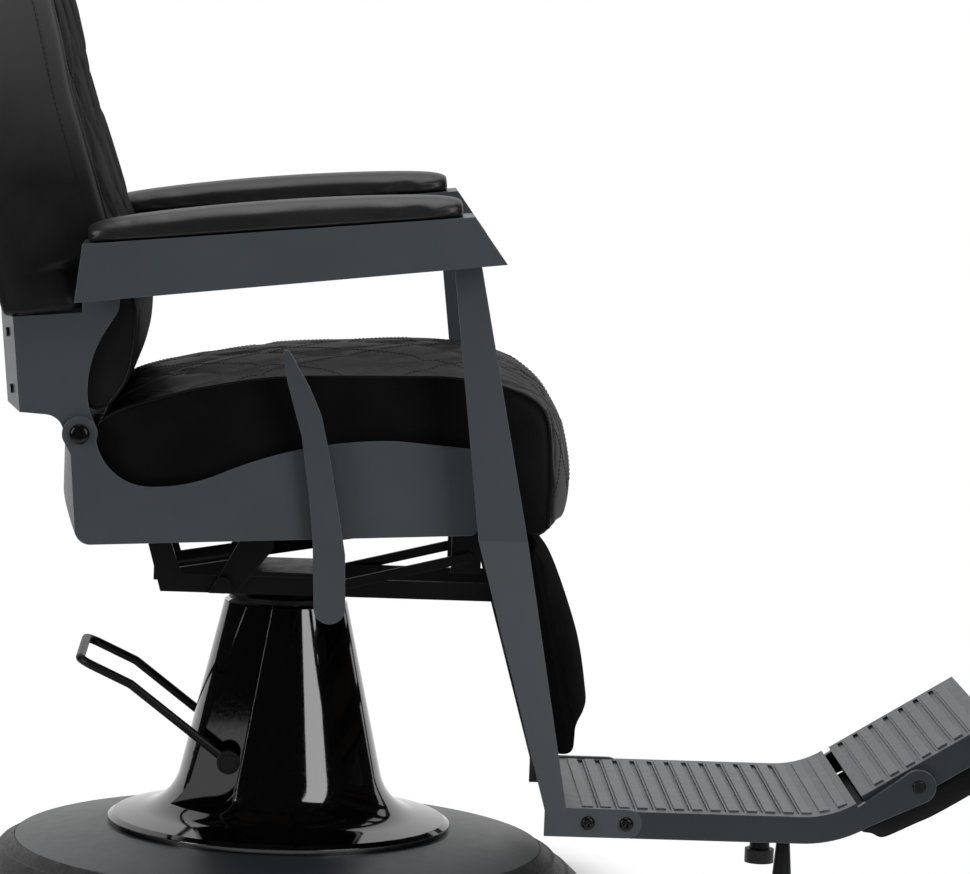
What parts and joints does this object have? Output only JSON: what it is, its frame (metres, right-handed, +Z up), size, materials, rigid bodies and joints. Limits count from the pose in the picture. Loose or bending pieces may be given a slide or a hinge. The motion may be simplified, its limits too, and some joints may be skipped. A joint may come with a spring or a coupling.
{
  "type": "reclining barber chair",
  "caption": "Reclining barber chair with quilted seat and back, padded arms, linked footrest with flip plate, lever, foot pedal and hydraulic column on a round base.",
  "frame": {"origin": "centre of the column's axis at the floor", "axes": "+X to the front of the chair, +Y to its left side, +Z up"},
  "size_m": [1.2204, 0.686, 1.2302],
  "materials": {
    "frame_paint": "satin",
    "footrest_metal": "satin",
    "upholstery": "satin",
    "board": "matte",
    "gloss_cover": "gloss",
    "base_paint": "satin",
    "base_rubber": "matte",
    "black_metal": "satin",
    "bright_steel": "satin"
  },
  "bodies": {
    "base": {"base_plate": "base_paint", "base_ring": "base_rubber", "base_cover": "base_paint", "pump_cylinder": "black_metal", "base_bolts": "black_metal", "column_cover": "gloss_cover"},
    "pedal": {"pedal_shaft": "black_metal", "pump_pedal": "black_metal"},
    "ram": {"ram": "bright_steel"},
    "seat": {"seat_mount": "black_metal", "rail_right": "black_metal", "rail_left": "black_metal", "rear_cross": "black_metal", "mid_brackets": "black_metal", "bracket_nuts": "black_metal", "front_stays": "black_metal", "stay_brackets": "black_metal", "seat_pan": "board", "seat_side_right": "frame_paint", "seat_side_left": "frame_paint", "seat_rear_panel": "frame_paint", "seat_cushion": "upholstery", "lock_cylinder": "black_metal", "pivot_bolts": "black_metal", "pivot_washers": "bright_steel"},
    "lock": {"lock_rod": "bright_steel"},
    "lever": {"recline_lever": "frame_paint", "lever_shaft": "black_metal"},
    "back": {"back_bracket": "frame_paint", "lumbar_board": "board", "back_body": "upholstery", "back_board": "board", "back_cushion": "upholstery", "back_screws": "black_metal", "arm_pins": "black_metal", "headrest_collar": "black_metal", "headrest_knob": "black_metal"},
    "headrest": {"headrest_post": "bright_steel", "headrest_pad": "upholstery"},
    "right_arm": {"arm_right": "frame_paint", "arm_pad_right": "upholstery"},
    "left_arm": {"arm_left": "frame_paint", "arm_pad_left": "upholstery"},
    "footrest": {"post_right": "frame_paint", "post_left": "frame_paint", "footrest_shaft": "black_metal", "lock_crank": "black_metal", "footrest_platform": "footrest_metal", "footrest_bolts": "black_metal", "calf_board": "board", "calf_strap_lower": "black_metal", "calf_strap_upper": "black_metal", "calf_pad": "upholstery", "support_legs": "black_metal", "leg_feet": "base_rubber"},
    "flip": {"flip_plate": "footrest_metal", "flip_pad": "upholstery", "flip_pins": "black_metal"}
  },
  "joints": [
    {"name": "pedal_press", "type": "hinge", "parent": "base", "child": "pedal", "pos_m": [-0.058, 0, 0.147], "axis": [0, -1, 0], "range_deg": [0, 25], "stiffness_Nm_per_rad": 4, "springref_deg": -22.92},
    {"name": "ram_lift", "type": "slide", "parent": "base", "child": "ram", "axis": [0, 0, 1], "range_m": [0, 0.15]},
    {"name": "seat_swivel", "type": "hinge", "parent": "ram", "child": "seat", "pos_m": [0, 0, 0.34], "axis": [0, 0, 1], "continuous": true},
    {"name": "back_recline", "type": "hinge", "parent": "seat", "child": "back", "pos_m": [-0.227, 0, 0.522], "axis": [0, -1, 0], "range_deg": [0, 40]},
    {"name": "right_arm_pivot", "type": "hinge", "parent": "back", "child": "right_arm", "pos_m": [-0.21, 0, 0.69], "axis": [0, -1, 0], "range_deg": [-42, 0]},
    {"name": "left_arm_pivot", "type": "hinge", "parent": "back", "child": "left_arm", "pos_m": [-0.21, 0, 0.69], "axis": [0, -1, 0], "range_deg": [-42, 0]},
    {"name": "footrest_swing", "type": "hinge", "parent": "seat", "child": "footrest", "pos_m": [0.245, 0, 0.347], "axis": [0, -1, 0], "range_deg": [0, 17]},
    {"name": "lock_slide", "type": "slide", "parent": "seat", "child": "lock", "axis": [0.9848, 0, 0.1736], "range_m": [-0.0225, 0]},
    {"name": "flip_over", "type": "hinge", "parent": "footrest", "child": "flip", "pos_m": [0.702, 0, 0.157], "axis": [0, -1, 0], "range_deg": [0, 135]},
    {"name": "lever_pull", "type": "hinge", "parent": "seat", "child": "lever", "pos_m": [0.0465, 0, 0.344], "axis": [0, -1, 0], "range_deg": [0, 20], "stiffness_Nm_per_rad": 4, "springref_deg": -17.19},
    {"name": "headrest_height", "type": "slide", "parent": "back", "child": "headrest", "axis": [-0.2974, 0, 0.9548], "range_m": [0, 0.1]}
  ],
  "couplings": [
    {"joint": "right_arm_pivot", "follows": "back_recline", "ratio": -1.0483},
    {"joint": "left_arm_pivot", "follows": "back_recline", "ratio": -1.0483},
    {"joint": "footrest_swing", "follows": "back_recline", "ratio": 0.424},
    {"joint": "lock_slide", "follows": "back_recline", "m_per_rad": -0.03162}
  ]
}
